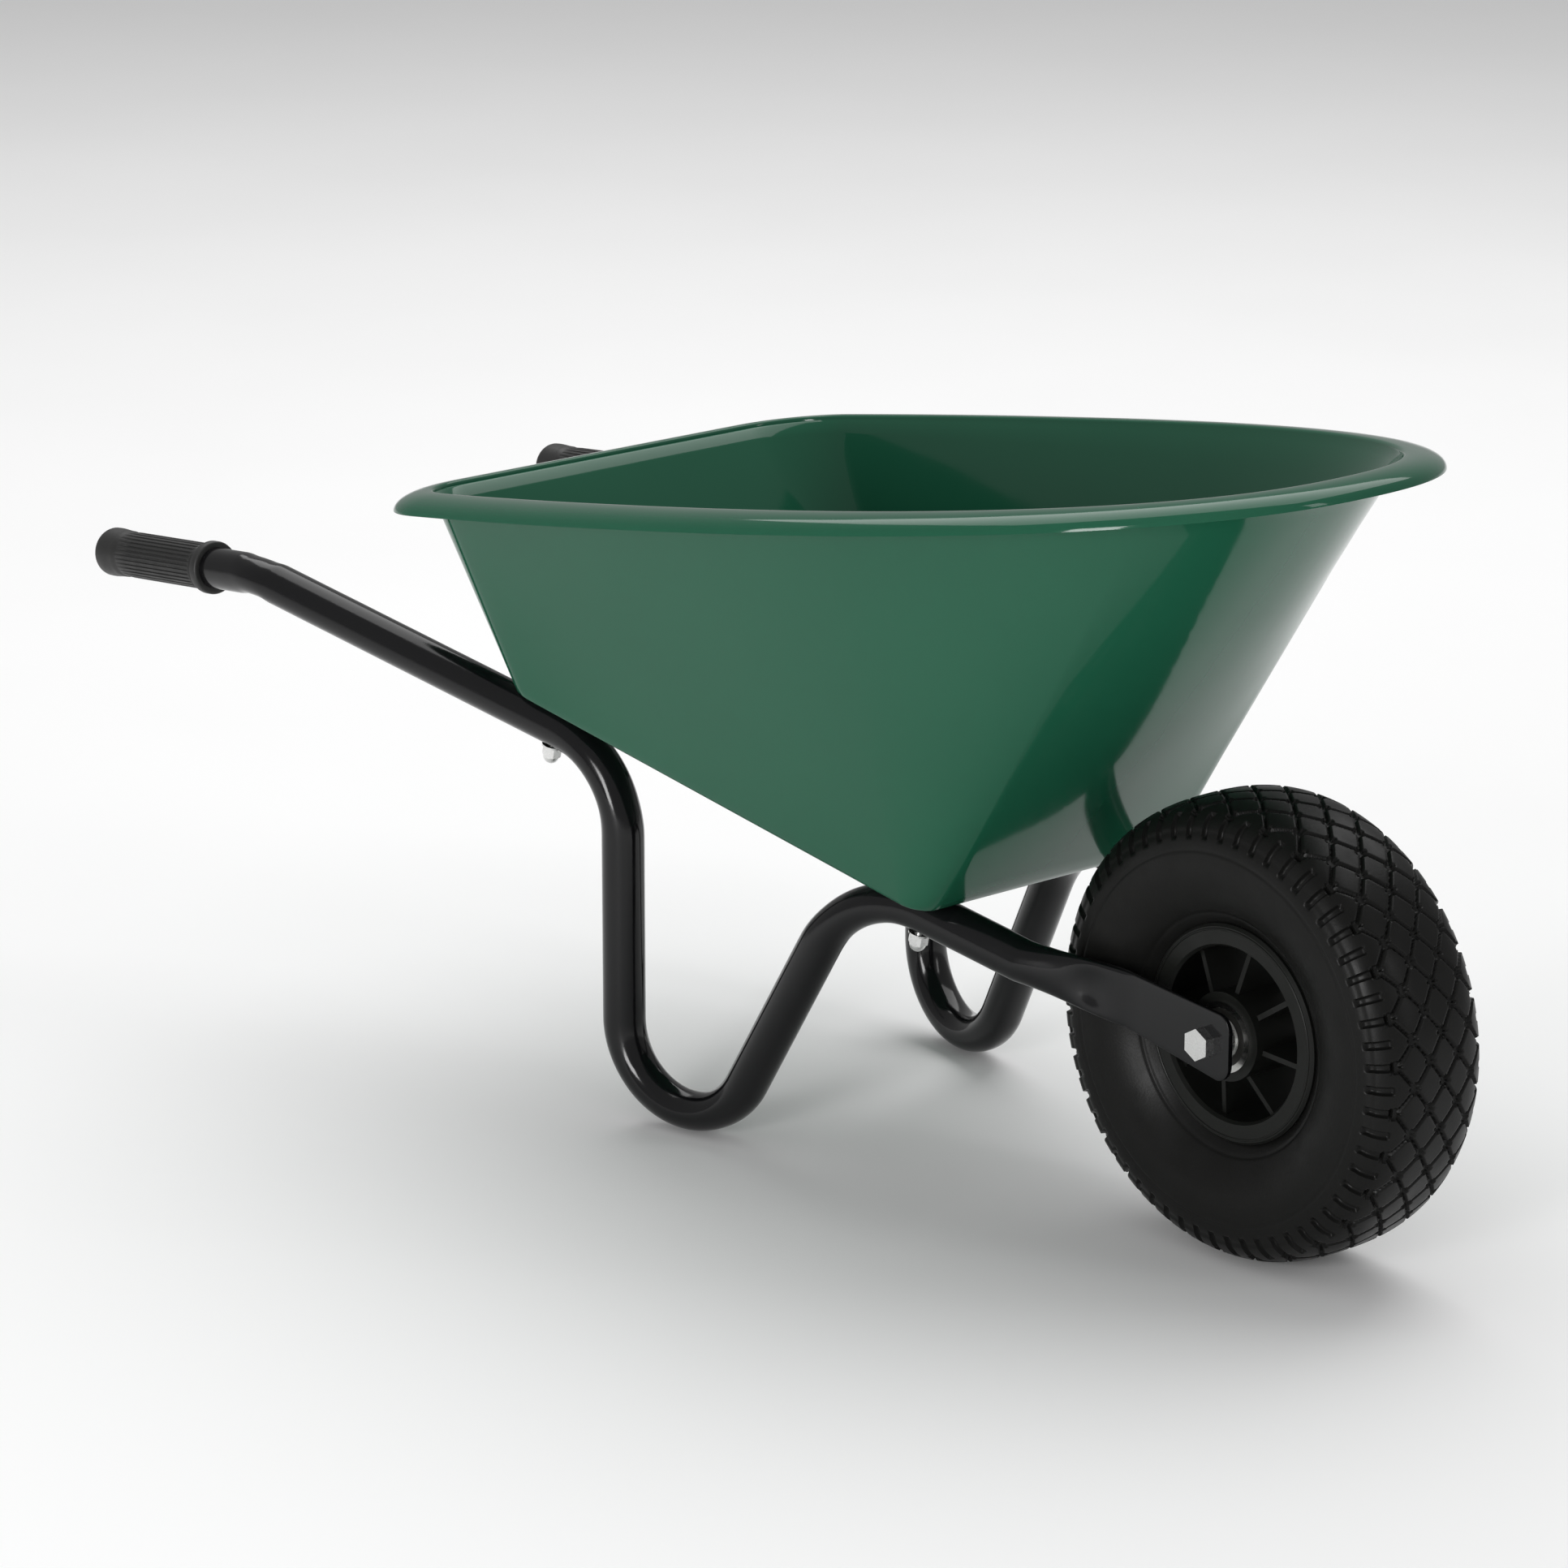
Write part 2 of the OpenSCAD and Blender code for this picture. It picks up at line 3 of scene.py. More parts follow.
import bpy
import bmesh
import numpy as np
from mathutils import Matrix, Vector


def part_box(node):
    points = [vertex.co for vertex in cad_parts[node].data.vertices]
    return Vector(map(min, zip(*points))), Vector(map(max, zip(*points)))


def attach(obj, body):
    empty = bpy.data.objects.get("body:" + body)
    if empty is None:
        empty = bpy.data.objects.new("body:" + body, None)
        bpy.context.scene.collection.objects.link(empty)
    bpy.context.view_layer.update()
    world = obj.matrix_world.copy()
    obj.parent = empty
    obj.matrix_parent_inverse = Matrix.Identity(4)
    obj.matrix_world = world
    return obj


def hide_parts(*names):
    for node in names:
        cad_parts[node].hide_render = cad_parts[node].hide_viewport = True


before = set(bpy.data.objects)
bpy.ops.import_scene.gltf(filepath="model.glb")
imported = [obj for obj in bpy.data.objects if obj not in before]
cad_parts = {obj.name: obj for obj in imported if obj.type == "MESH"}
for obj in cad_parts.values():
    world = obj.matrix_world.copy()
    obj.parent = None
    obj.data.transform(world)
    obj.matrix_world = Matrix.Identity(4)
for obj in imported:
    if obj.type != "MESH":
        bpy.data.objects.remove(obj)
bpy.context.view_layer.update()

# Shapes are worked out in millimetres from the axle, then placed by the CAD's own tyre box.
MM = 0.001
tyre_low, tyre_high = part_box("tyre")
AXLE = Vector(((tyre_low[0] + tyre_high[0]) / 2, 0, (tyre_low[2] + tyre_high[2]) / 2))
WHEEL_R = (tyre_high[2] - tyre_low[2]) / 2 / MM
TYRE_HALF = (tyre_high[1] - tyre_low[1]) / 2 / MM
SIDES = {"right": -1, "left": 1}


# ---- small tools ----
def smooth(t):
    t = min(max(t, 0), 1)
    return t * t * (3 - 2 * t)


def mix(a, b, t):
    return a + (b - a) * t


def piece(name, verts, faces, material, body, nodes=(), sharp=35):
    """A mesh in millimetres, with X from the axle and Z from the ground, put in the row frame."""
    mesh = bpy.data.meshes.new(name)
    mesh.from_pydata([(AXLE.x + v[0] * MM, v[1] * MM, v[2] * MM) for v in verts], [], faces)
    bm = bmesh.new()
    bm.from_mesh(mesh)
    bmesh.ops.recalc_face_normals(bm, faces=bm.faces)
    bm.to_mesh(mesh)
    bm.free()
    mesh.shade_smooth()
    mesh.set_sharp_from_angle(angle=math.radians(sharp))
    obj = bpy.data.objects.new(name, mesh)
    bpy.context.scene.collection.objects.link(obj)
    mesh.materials.append(material)
    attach(obj, body)
    if nodes:
        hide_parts(*nodes)
    return obj


def skin(rings, count, around=False):
    """Quads over rings of count points, with a cap at each end or the last ring joined to the first."""
    faces = []
    for k in range(rings if around else rings - 1):
        a, b = k * count, (k + 1) % rings * count
        for i in range(count):
            j = (i + 1) % count
            faces.append((a + i, a + j, b + j, b + i))
    if not around:
        faces.append(tuple(range(count)))
        faces.append(tuple(range((rings - 1) * count, rings * count)))
    return faces


# ---- materials ----
# The noise mostly stays between these two values, which are stretched to the range asked for.
NOISE_LOW, NOISE_HIGH = 0.3, 0.7
BUMP_STRENGTH = 0.3


def shader(name, color, roughness, metallic=0.0, ior=1.5):
    mat = bpy.data.materials.new(name)
    mat.use_nodes = True
    bsdf = mat.node_tree.nodes["Principled BSDF"]
    bsdf.inputs["Base Color"].default_value = (*color, 1)
    bsdf.inputs["Roughness"].default_value = roughness
    bsdf.inputs["Metallic"].default_value = metallic
    bsdf.inputs["IOR"].default_value = ior
    return mat, bsdf


def noise(mat, scale, detail=4):
    nodes, links = mat.node_tree.nodes, mat.node_tree.links
    coord = nodes.new("ShaderNodeTexCoord")
    texture = nodes.new("ShaderNodeTexNoise")
    texture.inputs["Scale"].default_value = scale
    texture.inputs["Detail"].default_value = detail
    links.new(coord.outputs["Object"], texture.inputs["Vector"])
    return texture.outputs["Fac"]


def vary(mat, bsdf, socket, fac, low, high):
    """Drives a shader socket by noise, between two numbers or two colours."""
    nodes, links = mat.node_tree.nodes, mat.node_tree.links
    if isinstance(low, tuple):
        ramp = nodes.new("ShaderNodeMix")
        ramp.data_type = "RGBA"
        ramp.inputs["A"].default_value = (*low, 1)
        ramp.inputs["B"].default_value = (*high, 1)
        links.new(fac, ramp.inputs["Factor"])
        links.new([o for o in ramp.outputs if o.type == "RGBA"][0], bsdf.inputs[socket])
    else:
        span = nodes.new("ShaderNodeMapRange")
        span.inputs["From Min"].default_value = NOISE_LOW
        span.inputs["From Max"].default_value = NOISE_HIGH
        span.inputs["To Min"].default_value = low
        span.inputs["To Max"].default_value = high
        links.new(fac, span.inputs["Value"])
        links.new(span.outputs["Result"], bsdf.inputs[socket])


def bump(mat, bsdf, fac, distance):
    node = mat.node_tree.nodes.new("ShaderNodeBump")
    node.inputs["Distance"].default_value = distance
    node.inputs["Strength"].default_value = BUMP_STRENGTH
    mat.node_tree.links.new(fac, node.inputs["Height"])
    mat.node_tree.links.new(node.outputs["Normal"], bsdf.inputs["Normal"])


def tray_plastic():
    mat, bsdf = shader("tray_plastic", (0.009, 0.085, 0.047), 0.08, ior=1.37)
    vary(mat, bsdf, "Base Color", noise(mat, 9), (0.010, 0.082, 0.044), (0.013, 0.094, 0.051))
    vary(mat, bsdf, "Roughness", noise(mat, 26), 0.06, 0.12)
    bump(mat, bsdf, noise(mat, 11, 1), 0.002)
    return mat


def tube_paint():
    mat, bsdf = shader("tube_paint", (0.004, 0.004, 0.0045), 0.2, ior=1.4)
    vary(mat, bsdf, "Roughness", noise(mat, 60), 0.1, 0.18)
    bump(mat, bsdf, noise(mat, 260, 2), 0.0001)
    return mat


def grip_rubber():
    mat, bsdf = shader("grip_rubber", (0.014, 0.014, 0.0135), 0.5)
    vary(mat, bsdf, "Roughness", noise(mat, 120), 0.42, 0.6)
    bump(mat, bsdf, noise(mat, 900, 3), 0.00015)
    return mat


def tyre_rubber():
    mat, bsdf = shader("tyre_rubber", (0.006, 0.006, 0.0056), 0.4, ior=1.24)
    vary(mat, bsdf, "Base Color", noise(mat, 30), (0.004, 0.004, 0.0037), (0.008, 0.008, 0.0075))
    vary(mat, bsdf, "Roughness", noise(mat, 50), 0.3, 0.46)
    bump(mat, bsdf, noise(mat, 700, 3), 0.0002)
    return mat


def rim_plastic():
    mat, bsdf = shader("rim_plastic", (0.007, 0.0075, 0.0065), 0.36, ior=1.29)
    vary(mat, bsdf, "Roughness", noise(mat, 70), 0.32, 0.48)
    bump(mat, bsdf, noise(mat, 500, 2), 0.0001)
    return mat


def seal_plastic():
    mat, bsdf = shader("seal_plastic", (0.03, 0.029, 0.026), 0.5)
    vary(mat, bsdf, "Roughness", noise(mat, 200), 0.42, 0.6)
    return mat


def metal(name, color, low, high, scale):
    mat, bsdf = shader(name, color, low, metallic=1.0)
    vary(mat, bsdf, "Roughness", noise(mat, scale), low, high)
    vary(mat, bsdf, "Base Color", noise(mat, scale / 3), tuple(c * 0.9 for c in color), color)
    return mat


TRAY, PAINT, GRIP = tray_plastic(), tube_paint(), grip_rubber()
TYRE, RIM, SEAL = tyre_rubber(), rim_plastic(), seal_plastic()
ZINC = metal("zinc_plate", (0.80, 0.80, 0.79), 0.2, 0.36, 220)
STEEL = metal("bearing_steel", (0.62, 0.62, 0.60), 0.16, 0.3, 180)


# ---- tray ----
# The rim's outline has a straight rear edge, round corners, bowed sides and a blunt nose.
RIM_REAR, RIM_WIDE, RIM_FRONT = -562, -342, 45
RIM_REAR_HALF, RIM_HALF, RIM_CORNER = 158, 168, 47
RIM_HEIGHT, RIM_RISE, NOSE_POWER = 353, math.tan(math.radians(8.53)), 2.4
FLOOR_REAR, FLOOR_FRONT = -478, -169
FLOOR_REAR_HALF, FLOOR_FRONT_HALF, FLOOR_CORNER = 146.3, 106.2, 17
# The moulding's own sizes: wall, lip, the lip's inner crest, and the rounding where the wall meets the floor.
WALL, LIP_W, LIP_H, LIP_ROOT = 3, 21.7, 10.2, 1.2
LIP_EDGE, LIP_EDGE_DROP = 0.3, 0.1
CREST_W, CREST_H = 2.2, 2.6
HEEL, HEEL_RISE, FLOOR_LAP = 4.5, 2, 9
FILLET_UP, FILLET_IN = 0.035, 5
# Parts of the way up the wall where the skin has a ring. It turns out to the lip over the last few percent.
OUTER_STEPS, OUTER_NECK, NECK_DROP = (0.02, 0.05, 0.12, 0.25, 0.4, 0.55, 0.7, 0.82, 0.91), 0.96, 1
INNER_STEPS, INNER_NECK = (0.91, 0.82, 0.7, 0.55, 0.4, 0.25, 0.15, 0.08), 0.97
REAR_STEPS, CORNER_STEPS, SIDE_STEPS, CONE_STEPS, FRONT_STEPS = 8, 18, 24, 44, 16
# Between these angles of the nose the wall fans out from the floor's front corner, like a cone.
CONE_START, CONE_END = 20, 60

# The rails: the angle each turns out, its slope, and its height and half gap at the axle.
TOE, RAIL = math.radians(11.64), math.radians(13.65)
RAIL_HEIGHT, PLANE_OFFSET, TUBE_R, SHIM = 116.8, 36.8, 12.5, 1.0
FLOOR_SLOPE = math.atan(math.tan(RAIL) / math.cos(TOE))


def rail_z(s):
    return RAIL_HEIGHT - s * math.tan(RAIL)


def floor_z(x):
    return rail_z(x / math.cos(TOE)) + (TUBE_R + SHIM) / math.cos(FLOOR_SLOPE)


def rim_z(x):
    return RIM_HEIGHT + (x - RIM_REAR) * RIM_RISE


def polar(centre, radius, degrees):
    a = math.radians(degrees)
    return (centre[0] + radius * math.cos(a), centre[1] + radius * math.sin(a))


def nose_point(degrees):
    s, c = math.sin(math.radians(degrees)), max(math.cos(math.radians(degrees)), 0)
    return (RIM_WIDE + (RIM_FRONT - RIM_WIDE) * s ** (2 / NOSE_POWER), RIM_HALF * c ** (2 / NOSE_POWER))


def rim_half_outline():
    side_x = RIM_REAR + RIM_CORNER
    flare = math.degrees(2 * math.atan2(RIM_HALF - RIM_REAR_HALF, RIM_WIDE - side_x))
    centre = (side_x, RIM_REAR_HALF - RIM_CORNER)
    start = polar(centre, RIM_CORNER, 90 + flare)

    def side_y(x):
        if x < RIM_WIDE:
            return RIM_HALF - (RIM_HALF - start[1]) * ((RIM_WIDE - x) / (RIM_WIDE - start[0])) ** 2
        forward = (x - RIM_WIDE) / (RIM_FRONT - RIM_WIDE)
        return RIM_HALF * (1 - forward ** NOSE_POWER) ** (1 / NOSE_POWER)

    points = [(RIM_REAR, centre[1] * i / REAR_STEPS) for i in range(REAR_STEPS)]
    points += [polar(centre, RIM_CORNER, 180 - (90 - flare) * i / CORNER_STEPS) for i in range(CORNER_STEPS)]
    for i in range(SIDE_STEPS):
        x = mix(start[0], nose_point(CONE_START)[0], i / SIDE_STEPS)
        points.append((x, side_y(x)))
    points += [nose_point(mix(CONE_START, CONE_END, i / CONE_STEPS)) for i in range(CONE_STEPS)]
    points += [nose_point(mix(CONE_END, 90, i / FRONT_STEPS)) for i in range(FRONT_STEPS + 1)]
    return points


def floor_half_outline():
    taper = math.degrees(math.atan2(FLOOR_REAR_HALF - FLOOR_FRONT_HALF, FLOOR_FRONT - FLOOR_REAR))
    rear = (FLOOR_REAR + FLOOR_CORNER, FLOOR_REAR_HALF - FLOOR_CORNER)
    front = (FLOOR_FRONT - FLOOR_CORNER, FLOOR_FRONT_HALF - FLOOR_CORNER)
    points = [(FLOOR_REAR, rear[1] * i / REAR_STEPS) for i in range(REAR_STEPS)]
    points += [polar(rear, FLOOR_CORNER, 180 - (90 + taper) * i / CORNER_STEPS) for i in range(CORNER_STEPS)]
    for i in range(SIDE_STEPS):
        t = i / SIDE_STEPS
        points.append(polar((mix(rear[0], front[0], t), mix(rear[1], front[1], t)), FLOOR_CORNER, 90 - taper))
    points += [polar(front, FLOOR_CORNER, (90 - taper) * (1 - i / CONE_STEPS)) for i in range(CONE_STEPS)]
    points += [(FLOOR_FRONT, front[1] * (1 - i / FRONT_STEPS)) for i in range(FRONT_STEPS + 1)]
    return points


def both_sides(half):
    return half + [(x, -y) for x, y in half[-2:0:-1]]


def outward(outline):
    normals = []
    for i in range(len(outline)):
        (ax, ay), (bx, by) = outline[i - 1], outline[(i + 1) % len(outline)]
        size = math.hypot(bx - ax, by - ay)
        normals.append((-(by - ay) / size, (bx - ax) / size))
    return normals


def tray_profile():
    """(part of the way up the wall, outward, lift) from the floor's underside, over the lip, to its top."""
    arc = [math.radians(a) for a in range(0, 91, 6)]
    under_w, under_h = LIP_W - WALL - LIP_ROOT, LIP_H - WALL
    rows = [(0, -FLOOR_LAP, 0), (0, -HEEL, 0)]
    rows += [(0, -HEEL + HEEL * math.sin(a), HEEL_RISE * (1 - math.cos(a))) for a in arc[3:-1:3]]
    rows += [(up, 0, 0) for up in OUTER_STEPS]
    rows += [(OUTER_NECK, 0, -NECK_DROP)]
    rows += [(1, LIP_ROOT + under_w * math.sin(a), -WALL - under_h * (1 - math.cos(a))) for a in arc[1:]]
    rows += [(1, LIP_W - LIP_EDGE, -LIP_H - LIP_EDGE_DROP)]
    rows += [(1, LIP_W * math.sin(a), -LIP_H * (1 - math.cos(a))) for a in arc[::-1]]
    rows += [(1, -CREST_W * math.sin(a), -CREST_H * (1 - math.cos(a))) for a in arc[3::3]]
    rows += [(INNER_NECK, 0.1 - WALL, 0)]
    rows += [(up, -WALL, 0) for up in INNER_STEPS]
    rows += [(FILLET_UP * (1 - t), -WALL - FILLET_IN * t * t, WALL * t) for t in (0.0, 0.35, 0.7, 1.0)]
    rows += [(0, -WALL - FLOOR_LAP, WALL)]
    return rows


def make_tray():
    rim, floor = both_sides(rim_half_outline()), both_sides(floor_half_outline())
    rim_n, floor_n = outward(rim), outward(floor)
    rows = tray_profile()
    verts = []
    for up, out, lift in rows:
        for f, fn, r, rn in zip(floor, floor_n, rim, rim_n):
            fx, fy = f[0] + fn[0] * out, f[1] + fn[1] * out
            rx, ry = r[0] + rn[0] * out, r[1] + rn[1] * out
            verts.append((mix(fx, rx, up), mix(fy, ry, up), mix(floor_z(fx), rim_z(rx), up) + lift))
    piece("tray_shell", verts, skin(len(rows), len(rim)), TRAY, "barrow_frame", ["tray"], 55)


# ---- frame tubes ----
# Each tube lies in an upright plane, and LEG_S is the leg's place along it.
# "Back" is a distance behind the axle.
LEG_S, BRACE, DROOP = -412.5, math.radians(29), math.radians(5)
HANDLE_R, KNEE_R, FOOT_R, BROW_R = 80, 60, 48, 68
HANDLE_BACK, GRIP_START, GRIP_L, TUBE_SHORT = 675, 44.8, 110, 4
FLAT_BACK, CREASE_BACK, CREASE_RISE, CREASE_H = 128, 60, 10, 32
PLATE_H, PLATE_Y, PLATE_T, PLATE_NOSE, PLATE_CORNER, PLATE_POWER = 38, 49, 3, 19, 9, 12
# How bending squeezes the tube: less high, a little wider, easing in from each end of the bend.
BEND_SQUEEZE, BEND_SPREAD, BEND_EASE = 0.09, 0.03, 3.5
BEND_STEP, LEAST_BEND_STEPS, PRESS_STEPS, PLATE_STEPS, AROUND = 3, 10, 34, 12, 56
# The dent pressed into each face: its depth, where it is deepest, how far it spreads, where it runs out.
DENT, DENT_AT, DENT_SPREAD, DENT_END = 0.72, 0.68, 0.17, 0.9
CREASE_EXTRA = 1.0
ACROSS = Vector((0, 1, 0))


def plane_point(s, z, side):
    return Vector((s * math.cos(TOE), side * (PLANE_OFFSET - s * math.sin(TOE)), z))


def rail_point(x, side):
    s = x / math.cos(TOE)
    return plane_point(s, rail_z(s), side)


def tube_route(side):
    foot_z = FOOT_R + TUBE_R - FOOT_R * math.tan((math.pi - BRACE) / 2)
    lean, slope = math.tan(BRACE), math.tan(RAIL)
    brow_z = (RAIL_HEIGHT - slope * (LEG_S - foot_z * lean)) / (1 + slope * lean)
    corner = rail_point(-HANDLE_BACK, side)
    end = corner - (GRIP_START + GRIP_L - TUBE_SHORT) * Vector((math.cos(DROOP), 0, math.sin(DROOP)))
    return [end, corner, plane_point(LEG_S, rail_z(LEG_S), side), plane_point(LEG_S, foot_z, side),
            plane_point(LEG_S + (brow_z - foot_z) * lean, brow_z, side), rail_point(-FLAT_BACK, side)]


def route_samples(points, radii):
    """(place, direction, how far into a bend) along straight runs and bends."""
    samples = [(points[0], (points[1] - points[0]).normalized(), 0.0)]
    for a, p, b, radius in zip(points, points[1:], points[2:], radii):
        u, v = (p - a).normalized(), (b - p).normalized()
        turn = u.angle(v)
        inward = (v - u.dot(v) * u).normalized()
        centre = p - u * radius * math.tan(turn / 2) + inward * radius
        steps = max(LEAST_BEND_STEPS, round(math.degrees(turn) / BEND_STEP))
        for i in range(steps + 1):
            t = turn * i / steps
            bent = smooth(min(i, steps - i) / steps * BEND_EASE)
            samples.append((centre - inward * radius * math.cos(t) + u * radius * math.sin(t),
                            u * math.cos(t) + inward * math.sin(t), bent))
    return samples


def section(centre, up, across, high, thick, power, dent):
    """A closed ring: a circle at power 2, a flat strap at high power, its faces dented in by dent."""
    ring = []
    for i in range(AROUND):
        a = 2 * math.pi * i / AROUND
        c, s = math.cos(a), math.sin(a)
        n = high * math.copysign(abs(c) ** (2 / power), c)
        u = thick * math.copysign(abs(s) ** (2 / power), s)
        u *= 1 - dent * max(1 - (n / high) ** 2, 0) ** 1.5
        ring.append(centre + up * n + across * u)
    return ring


def square_to(along, side):
    """(up, across) of a section square to a direction in the tube's plane."""
    normal = Vector((math.sin(TOE) * side, math.cos(TOE), 0))
    across = (normal - normal.dot(along) * along).normalized()
    return along.cross(across).normalized(), across


def round_rings(side):
    rings = []
    for place, along, bent in route_samples(tube_route(side), [HANDLE_R, KNEE_R, FOOT_R, BROW_R]):
        up, across = square_to(along, side)
        high, thick = TUBE_R * (1 - BEND_SQUEEZE * bent), TUBE_R * (1 + BEND_SPREAD * bent)
        rings.append(section(place, up, across, high, thick, 2, 0))
    return rings


def pressed_rings(up, across, up_end, side):
    """From the round tube to the crease, pressed flat."""
    start = rail_point(-FLAT_BACK, side)
    crease = Vector((-CREASE_BACK, side * PLATE_Y, WHEEL_R + CREASE_RISE))
    rings = []
    for i in range(PRESS_STEPS + 1):
        t = i / PRESS_STEPS
        e = smooth(t)
        press = 1 - (1 - t) ** 1.15 * (1 - 0.35 * smooth(t * 1.4))
        runs_out = 1 - smooth((t - DENT_END) / (1 - DENT_END))
        dent = DENT * math.exp(-((t - DENT_AT) / DENT_SPREAD) ** 2) * runs_out
        high, thick = mix(TUBE_R, CREASE_H / 2, e), mix(TUBE_R, PLATE_T / 2 + CREASE_EXTRA, press)
        ring_up, ring_across = mix(up, up_end, e).normalized(), mix(across, ACROSS, e).normalized()
        rings.append(section(mix(start, crease, t), ring_up, ring_across, high, thick, 2 + 4 * e ** 3, dent))
    return rings


def plate_rings(up_end, side):
    """The flat plate, from the crease to its rounded nose."""
    straight = PLATE_NOSE - PLATE_CORNER
    plate_x = [mix(-CREASE_BACK, straight, i / PLATE_STEPS) for i in range(1, PLATE_STEPS + 1)]
    plate_x += [straight + PLATE_CORNER * math.sin(math.radians(a)) for a in range(8, 90, 8)]
    rings = []
    for x in plate_x:
        t = min((x + CREASE_BACK) / (CREASE_BACK + straight), 1)
        high = mix(CREASE_H, PLATE_H, t) / 2
        if x > straight:
            high = PLATE_H / 2 - PLATE_CORNER + math.sqrt(PLATE_CORNER ** 2 - (x - straight) ** 2)
        centre = Vector((x, side * PLATE_Y, WHEEL_R + mix(CREASE_RISE, 0, t)))
        rings.append(section(centre, up_end, ACROSS, high, PLATE_T / 2, PLATE_POWER, 0))
    return rings


def make_tube(word, side):
    behind, start = rail_point(-FLAT_BACK - 100, side), rail_point(-FLAT_BACK, side)
    up, across = square_to((start - behind).normalized(), side)
    up_end = Vector((0, 0, math.copysign(1, up.z)))
    rings = round_rings(side) + pressed_rings(up, across, up_end, side) + plate_rings(up_end, side)
    piece("tube_" + word, [v for r in rings for v in r], skin(len(rings), AROUND), PAINT,
          "barrow_frame", ["frame_tube_" + word], 50)


# ---- grips ----
GRIP_R, COLLAR_R, GRIP_FLARE, GRIP_END_R = 14.1, 16.2, 0.9, 6
GRIP_RIBS, RIB_POINTS, RIB_DEPTH = 32, 8, 0.75
RIBS_FROM, RIBS_TO, RIBS_EASE = 10, 86, 2


def grip_profile():
    """(radius, distance along) from the collar to the rounded end."""
    flare, neck, swell = GRIP_R + GRIP_FLARE, GRIP_R - 0.3, GRIP_R + 0.2
    profile = [(TUBE_R + 0.05, 0.4), (COLLAR_R - 1.2, 0), (COLLAR_R - 0.3, 0.35), (COLLAR_R, 1.2)]
    profile += [(COLLAR_R, 4.8), (COLLAR_R - 0.3, 5.6), (COLLAR_R - 1.1, 6), (GRIP_R + 0.1, 6.4)]
    profile += [(neck, 7), (neck, 9.5)]
    profile += [(GRIP_R, 10 + 0.8 * i) for i in range(3)]
    profile += [(GRIP_R, z) for z in range(14, 84, 6)]
    profile += [(neck, 86), (neck, 88), (swell, 89)]
    profile += [(mix(swell, flare, smooth(t / 6)), 90 + 2 * t) for t in range(1, 7)]
    for a in [math.radians(a) for a in range(10, 91, 10)]:
        profile.append((flare - GRIP_END_R * (1 - math.cos(a)), GRIP_L - GRIP_END_R * (1 - math.sin(a))))
    return profile + [(5, GRIP_L), (1, GRIP_L)]


def make_grip(word, side):
    along = -Vector((math.cos(DROOP), 0, math.sin(DROOP)))
    up = along.cross(ACROSS)
    start = rail_point(-HANDLE_BACK, side) + along * GRIP_START
    profile, count = grip_profile(), GRIP_RIBS * RIB_POINTS
    verts = []
    for r, z in profile:
        ribbed = smooth((z - RIBS_FROM) / RIBS_EASE) * smooth((RIBS_TO - z) / RIBS_EASE)
        for i in range(count):
            a = 2 * math.pi * i / count
            groove = smooth((math.cos(a * GRIP_RIBS) - 0.1) / 0.7)
            radius = r - RIB_DEPTH * groove * ribbed
            verts.append(start + along * z + (ACROSS * math.cos(a) + up * math.sin(a)) * radius)
    piece("handle_grip_" + word, verts, skin(len(profile), count), GRIP, "barrow_frame",
          ["grip_" + word], 50)


# ---- tyre ----
SHOULDER_R, SHOULDER_POWER, BEAD_R, BEAD_Y = 99, 3, 62.0, 27
TURN_STEPS, PROFILE_STEPS = 1200, 118
INNER_SKIN = [(58, 24.5), (53, 16), (53, -16), (58, -24.5)]
# The tread: blocks round the wheel, the width of one, and the grooves and small crosses between them.
BLOCKS, BLOCK_W, TREAD_HALF, TREAD_LOW_R = 30, 21.5, 35, 112
GROOVE_HALF, GROOVE_EDGE, GROOVE_DEPTH = 1.15, 0.6, 2.1
CROSS_ARM, CROSS_HALF, CROSS_EDGE, CROSS_REACH = 3.8, 0.9, 0.5, 0.42
# The shoulder's slots.
LUGS, LUG_R, LUG_LOW_R, LUG_Y, LUG_HALF, LUG_DEPTH = 60, 124, 110.5, 32.5, 2.5, 2.4
# Fine lines round the side: (place, half width, depth).
EDGE_LINE, SIDE_LINE, BEAD_LINE = (40.6, 0.7, 0.4), (104.5, 0.7, 0.5), (68, 0.8, 0.5)


def tyre_profile():
    """Half section from the crown to the bead as (radius, distance from the middle), about 1 mm apart."""
    points = []
    for a in np.linspace(90, 0, 400):
        c, s = math.cos(math.radians(a)), math.sin(math.radians(a))
        points.append((SHOULDER_R + (WHEEL_R - SHOULDER_R) * s ** (2 / SHOULDER_POWER),
                       TYRE_HALF * max(c, 0) ** (2 / SHOULDER_POWER)))
    points += [(mix(SHOULDER_R, BEAD_R, k), mix(TYRE_HALF, BEAD_Y, k * k)) for k in np.linspace(0.02, 1, 60)]
    points = np.array(points)
    run = np.concatenate([[0], np.cumsum(np.hypot(*np.diff(points, axis=0).T))])
    even = np.linspace(0, run[-1], PROFILE_STEPS)
    return np.stack([np.interp(even, run, points[:, 0]), np.interp(even, run, points[:, 1])], axis=1)


def ramp(x):
    x = np.clip(x, 0, 1)
    return x * x * (3 - 2 * x)


def from_whole(q):
    """The distance to the nearest whole number."""
    return np.abs(q - np.round(q))


def fine_line(x, place, half, depth):
    return depth * np.exp(-((x - place) / half) ** 2)


